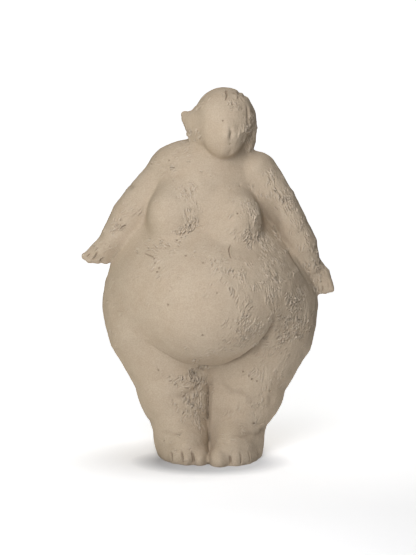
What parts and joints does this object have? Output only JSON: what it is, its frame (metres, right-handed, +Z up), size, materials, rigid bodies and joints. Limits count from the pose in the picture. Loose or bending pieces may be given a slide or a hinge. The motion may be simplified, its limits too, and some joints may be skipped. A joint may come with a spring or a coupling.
{
  "type": "female figurine",
  "caption": "Standing hand-modelled clay figurine of a full-bodied woman, arms held away from her hips, for display on a shelf or table.",
  "frame": {"origin": "middle of the figure's footprint box, on the plane of the soles", "axes": "+Z up, the figure faces -Y, and +X is on the viewer's right when facing her"},
  "size_m": [0.2082, 0.141, 0.2999],
  "materials": {
    "clay": "matte unglazed pale clay, creased and lightly pitted"
  },
  "bodies": {
    "root": {"female_figurine": "clay"}
  },
  "joints": []
}
